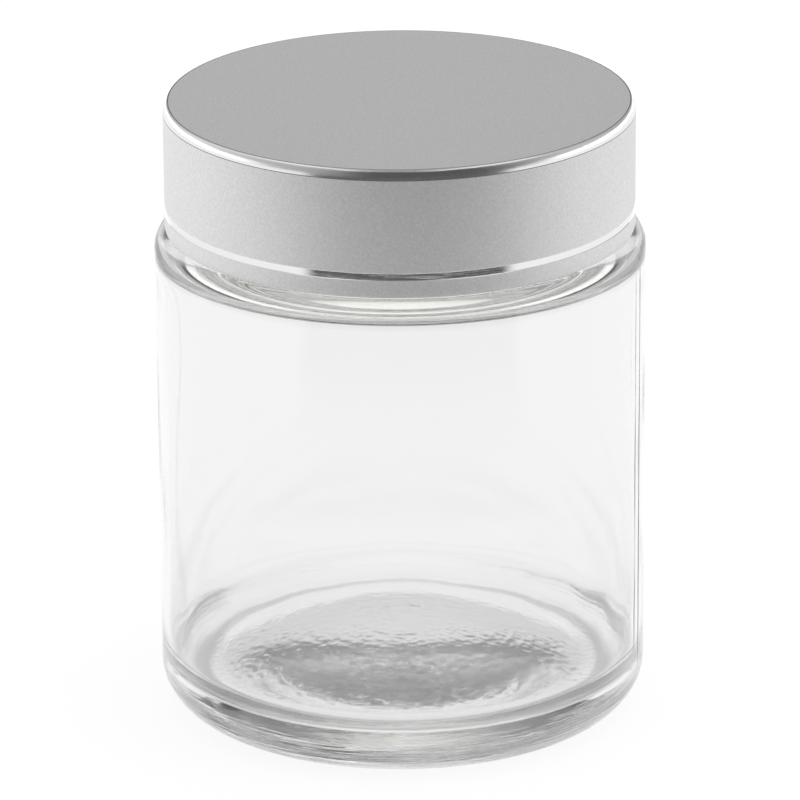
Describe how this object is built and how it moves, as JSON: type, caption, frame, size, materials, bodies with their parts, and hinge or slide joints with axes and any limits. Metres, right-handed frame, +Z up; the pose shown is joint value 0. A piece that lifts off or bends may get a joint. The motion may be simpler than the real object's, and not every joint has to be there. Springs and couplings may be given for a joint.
{
  "type": "screw-top glass jar",
  "caption": "Straight-sided clear glass jar with a thick base, rolled shoulder and a flat silver aluminium screw cap with bright turned edges.",
  "frame": {"origin": "centre of the base, on the plane the jar rests on", "axes": "+Z up along the jar's axis, from the base to the cap; the jar is turned about Z, so +X and +Y are free"},
  "size_m": [0.062, 0.062, 0.08],
  "materials": {
    "glass": "clear soda-lime glass, smooth, slightly uneven as moulded",
    "shell": "fine satin, anodised natural silver, with mirror-bright turned edges",
    "inner_cap": "white moulded polypropylene, half gloss",
    "liner": "white expanded polyethylene, matt"
  },
  "bodies": {
    "jar": {"glass_jar": "glass"},
    "liner": {"cap_liner": "liner"},
    "cap": {"inner_cap": "inner_cap", "cap_shell": "shell"}
  },
  "joints": [
    {"name": "cap_rise", "type": "slide", "parent": "jar", "child": "liner", "axis": [0, 0, 1], "range_m": [0, 0.017]},
    {"name": "cap_turn", "type": "hinge", "parent": "liner", "child": "cap", "pos_m": [0, 0, 0.0765], "axis": [0, 0, 1], "range_deg": [0, 1440]}
  ],
  "couplings": [
    {"joint": "cap_rise", "follows": "cap_turn", "m_per_rad": 0.00067376}
  ]
}
